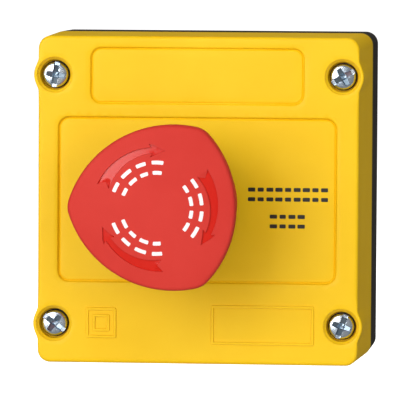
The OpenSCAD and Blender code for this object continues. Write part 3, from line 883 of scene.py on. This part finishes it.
def screwMesh():
    c = screw
    skin = skinMesh()
    edgeAt = [math.asin((c["slot"] + s) / c["head"]) for s in (-c["soft"], c["soft"])]
    corners = [t for e in edgeAt + [-e for e in edgeAt] for t in (e % (2 * math.pi), math.pi - e)]
    even = [2 * math.pi * (i + 0.5) / 44 for i in range(44)]
    turns = sorted({round(t, 6) for t in corners + even})
    rim = [(c["head"] * math.cos(t), c["head"] * math.sin(t)) for t in turns]
    x, y = np.array(rim).T
    top = list(screwTop(x, y, c))
    belly = list(np.minimum(np.array(top) - 0.02, c["headTop"] - c["edge"] - 0.25))
    low = [(p[0] * c["under"], p[1] * c["under"]) for p in rim]
    skin.tube([(rim, top), (rim, belly), (rim, c["headFrom"] + 0.12), (low, c["headFrom"])])
    loops = []
    for s in (-c["soft"], c["soft"]):
        v = c["slot"] + s
        u = math.sqrt(c["head"] ** 2 - v ** 2)
        loops.append([(-u, -v), (u, -v), (u, v), (-u, v)])
        for turn in (0, 1):
            a, b = c["armReach"] + s, c["arm"] * 0.8 + s
            m = c["arm"] * 1.25 + s
            shape = [(-a, -b), (0, -m), (a, -b), (a, b), (0, m), (-a, b)]
            loops.append([(q, p) if turn else (p, q) for p, q in shape][::-1 if turn else 1])
    loops.append(circle(0, 0, c["head"] - c["edge"], 40))
    loops.append(circle(0, 0, c["head"] - c["edge"] * 0.4, 40))
    skin.plate(rim, [], loops, 0.32, lambda x, y: screwTop(x, y, c),
               paintOf=lambda spots: inStar(spots, c), clear=0.1)
    profile = [(c["shank"], c["headFrom"]), (c["shank"], c["threadTo"] + 1)]
    z = c["threadTo"]
    while z > c["tip"] + 1:
        profile += [(c["root"], z), (c["shank"], z - c["pitch"] / 2)]
        z -= c["pitch"]
    profile += [(c["root"], c["tip"] + 0.5), (c["root"] - 0.5, c["tip"])]
    shaft = [([(p[0] * r / c["head"], p[1] * r / c["head"]) for p in rim], z) for r, z in profile]
    skin.tube([(low, c["headFrom"]), *shaft])
    skin.plate(shaft[-1][0], [], [], 4, c["tip"])
    piece = skin.build("screwShape", [finish["zinc"]], None, sharp=24)
    # the star faces are kept as the mask for the painted shade in the recess
    star = piece.data.attributes.new("star", "BOOLEAN", "FACE")
    for item, face in zip(star.data, piece.data.polygons):
        item.value = face.material_index == 1
        face.material_index = 0
    return piece


def makeScrews():
    c = screw
    source = screwMesh()
    inputs = [("Geometry", "NodeSocketGeometry"), ("Screw", "NodeSocketObject"),
              ("Finish", "NodeSocketMaterial"), ("Star painted shade", "NodeSocketMaterial")]
    tree, start, end = newTree("coverScrews", inputs)
    shape = node(tree, "GeometryNodeObjectInfo", (-600, -200))
    turn = node(tree, "GeometryNodeInputNamedAttribute", (-600, -450), data_type="FLOAT_VECTOR")
    turn.inputs["Name"].default_value = "turn"
    place = node(tree, "GeometryNodeInstanceOnPoints", (-200, 0))
    real = node(tree, "GeometryNodeRealizeInstances", (200, 0))
    # the star faces get the darker zinc: painted shade in the recess
    star = node(tree, "GeometryNodeInputNamedAttribute", (400, -300), data_type="BOOLEAN")
    star.inputs["Name"].default_value = "star"
    shade = node(tree, "GeometryNodeSetMaterial", (700, 0))
    paint = node(tree, "GeometryNodeSetMaterial", (450, 0))
    link(tree, start, "Screw", shape, "Object")
    link(tree, start, "Geometry", place, "Points")
    link(tree, shape, "Geometry", place, "Instance")
    link(tree, turn, "Attribute", place, "Rotation")
    link(tree, place, "Instances", real, "Geometry")
    link(tree, real, "Geometry", paint, "Geometry")
    link(tree, start, "Finish", paint, "Material")
    link(tree, paint, "Geometry", shade, "Geometry")
    link(tree, star, "Attribute", shade, "Selection")
    link(tree, start, "Star painted shade", shade, "Material")
    link(tree, shade, "Geometry", end, "Geometry")
    spots = bpy.data.meshes.new("screwPlaces")
    spots.from_pydata([toWorld(x, y, 0) for x, y in screwSpots(cover)], [], [])
    turns = spots.attributes.new("turn", "FLOAT_VECTOR", "POINT")
    for item, degrees in zip(turns.data, c["turns"]):
        item.vector = (0, -math.radians(degrees), 0)
    holder = bpy.data.objects.new("screwPlaces", spots)
    bpy.context.collection.objects.link(holder)
    mesh = bakeTree(tree, holder, {"Screw": source, "Finish": finish["zinc"],
                                   "Star painted shade": finish["zincShade"]})
    bpy.data.objects.remove(source)
    return settle(mesh, "coverScrews", "housing", ["cover_screws"], 24, weld=0.001)


coils = {  # middle radius, wire radius, from, to, turns, centre, body, joint, travel, node; all in mm
    "returnSpring": (12.2, 0.6, 59.8, 76.0, 6, (-6.5, 0), "housing", "press", 5.5, "return_spring"),
    "torsionSpring": (4.3, 0.35, 54.0, 72.4, 9, (-6.5, 0), "plunger", None, 0, "torsion_spring"),
    "bridgeSpringLeft": (2.3, 0.3, 9.0, 18.9, 5, (-12.5, 0), "housing", "contact_left_open", 5.5,
                         "bridge_spring_left"),
    "bridgeSpringRight": (2.3, 0.3, 9.0, 18.9, 5, (-0.5, 0), "housing", "contact_right_open", 5.5,
                          "bridge_spring_right"),
    "latchSpringLeft": (1.1, 0.22, 13.3, 16.4, 4, (-1, 41), "housing", "latch_left_move", 1.65,
                        "latch_spring_left"),
    "latchSpringRight": (1.1, 0.22, 13.3, 16.4, 4, (1, 41), "housing", "latch_right_move", 1.65,
                         "latch_spring_right"),
}


def coilTree():
    inputs = [("Geometry", "NodeSocketGeometry"), ("Radius", "NodeSocketFloat"),
              ("Wire", "NodeSocketFloat"), ("Height", "NodeSocketFloat"), ("Turns", "NodeSocketFloat"),
              ("Finish", "NodeSocketMaterial")]
    tree, start, end = newTree("coilSpring", inputs)
    spiral = node(tree, "GeometryNodeCurveSpiral", (-500, 0))
    spiral.inputs["Resolution"].default_value = 28
    ring = node(tree, "GeometryNodeCurvePrimitiveCircle", (-500, -350))
    ring.inputs["Resolution"].default_value = 10
    sweep = node(tree, "GeometryNodeCurveToMesh", (-100, 0))
    sweep.inputs["Fill Caps"].default_value = True
    real = node(tree, "GeometryNodeRealizeInstances", (250, 0))
    paint = node(tree, "GeometryNodeSetMaterial", (550, 0))
    link(tree, start, "Turns", spiral, "Rotations")
    link(tree, start, "Radius", spiral, "Start Radius")
    link(tree, start, "Radius", spiral, "End Radius")
    link(tree, start, "Height", spiral, "Height")
    link(tree, start, "Wire", ring, "Radius")
    link(tree, spiral, "Curve", sweep, "Curve")
    link(tree, ring, "Curve", sweep, "Profile Curve")
    link(tree, sweep, "Mesh", real, "Geometry")
    link(tree, real, "Geometry", paint, "Geometry")
    link(tree, start, "Finish", paint, "Material")
    link(tree, paint, "Geometry", end, "Geometry")
    return tree


makeScrews()

# the rubber seals are real; their outer edge reaches past the screw head so a black band shows in the gap
# as painted shade
sealAndShadeRing = {"inner": 2.35, "outer": 3.34, "from": 52.4, "to": 52.9, "soft": 0.12}


def makeSeals():
    c = sealAndShadeRing
    skin = skinMesh()
    for x, y in screwSpots(cover):
        a, b, low, high, k = c["inner"], c["outer"], c["from"], c["to"], c["soft"]
        corners = [(a + k, low), (b - k, low), (b, low + k), (b, high - k), (b - k, high), (a + k, high),
                   (a, high - k), (a, low + k), (a + k, low)]
        skin.tube([(circle(x, y, r, 40), z) for r, z in corners])
    return skin.build("screwSeals", [finish["rubber"]], "housing", ["screw_seals"], "black_rubber")


makeSeals()


def makeCoils():
    tree = coilTree()
    for name, c in coils.items():
        radius, wire, low, high, turns, centre, body, joint, travel, source = c
        holder = bpy.data.objects.new(name, bpy.data.meshes.new(name))
        bpy.context.collection.objects.link(holder)
        long = high - low - 2 * wire
        mesh = bakeTree(tree, holder, {"Radius": radius * mm, "Wire": wire * mm, "Height": long * mm,
                                       "Turns": turns, "Finish": finish["wire"]})
        if name.startswith("latch"):  # these lie along x, in the holder
            side = 1 if centre[0] > 0 else -1
            for v in mesh.vertices:
                along = low + wire + v.co.z / mm
                v.co = toWorld(head["x"] + side * along, v.co.x / mm, centre[1] + v.co.y / mm)
        else:
            for v in mesh.vertices:
                v.co = toWorld(centre[0] + v.co.x / mm, centre[1] + v.co.y / mm, low + wire + v.co.z / mm)
        piece = settle(mesh, name, body, [source], 40, weld=0.001)
        if joint:
            along, fixed = (0, 1, 0), toWorld(0, 0, low)
            if name.startswith("latch"):  # a known fault: these should lengthen with their joint; the axis and fixed end are only worked out and nothing squashes or stretches the spring
                along, fixed = (side, 0, 0), toWorld(head["x"] + side * high, 0, centre[1])
            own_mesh(piece)


makeCoils()

# Nodes whose shape is right, shown as copies with softened edges
softNodes = {  # finish, edge radius in mm, segments
    "base_housing": ("dark", 0.35, 3, "housing", "dark_plastic"),
    "operator_bezel": ("bezel", 0.25, 2, "housing", "dark_plastic"),
}


def makeSoftCopies():
    for name, (look, radius, segments, body, slot) in softNodes.items():
        work = bmesh.new()
        work.from_mesh(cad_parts[name].data)
        bmesh.ops.remove_doubles(work, verts=work.verts, dist=0.001 * mm)
        bmesh.ops.dissolve_limit(work, angle_limit=math.radians(1.0), verts=work.verts, edges=work.edges)
        edges = [e for e in work.edges if len(e.link_faces) == 2 and e.calc_face_angle(0) > math.radians(40)
                 and e.is_convex]
        bmesh.ops.bevel(work, geom=edges, offset=radius * mm, segments=segments, profile=0.5,
                        affect="EDGES", clamp_overlap=True)
        bmesh.ops.triangulate(work, faces=[f for f in work.faces if len(f.verts) > 4])
        mesh = bpy.data.meshes.new(name + "_soft")
        work.to_mesh(mesh)
        work.free()
        mesh.materials.clear()
        mesh.materials.append(finish[look])
        for face in mesh.polygons:
            face.material_index = 0
        settle(mesh, name + "_soft", body, [name], 30, weld=0.0005)


makeSoftCopies()

nodeFinish = {
    "cover_gasket": "rubber", "bezel_gasket": "rubber", "stem_seal": "rubber",
    "post_inserts": "brass", "lock_washer": "zinc", "ring_nut": "cast", "contact_holder": "grey",
    "rotor": "nylon", "rotor_clip": "wire", "plunger_stem": "nylon",
}
for part, look in (("block_body", "grey"), ("block_lid", "blockRed"), ("fixed_contacts", "contact"),
                   ("terminal_screws", "zinc"), ("wire_clamps", "brass"), ("pusher", "nylon"),
                   ("bridge", "contact"), ("latch_pin", "zinc")):
    for side in ("left", "right"):
        nodeFinish[f"{part}_{side}"] = look
for name, look in nodeFinish.items():
    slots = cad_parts[name].data.materials
    if len(slots) == 0:
        slots.append(finish[look])
    for i in range(len(slots)):
        slots[i] = finish[look]
print("finished nodes:", len(nodeFinish))
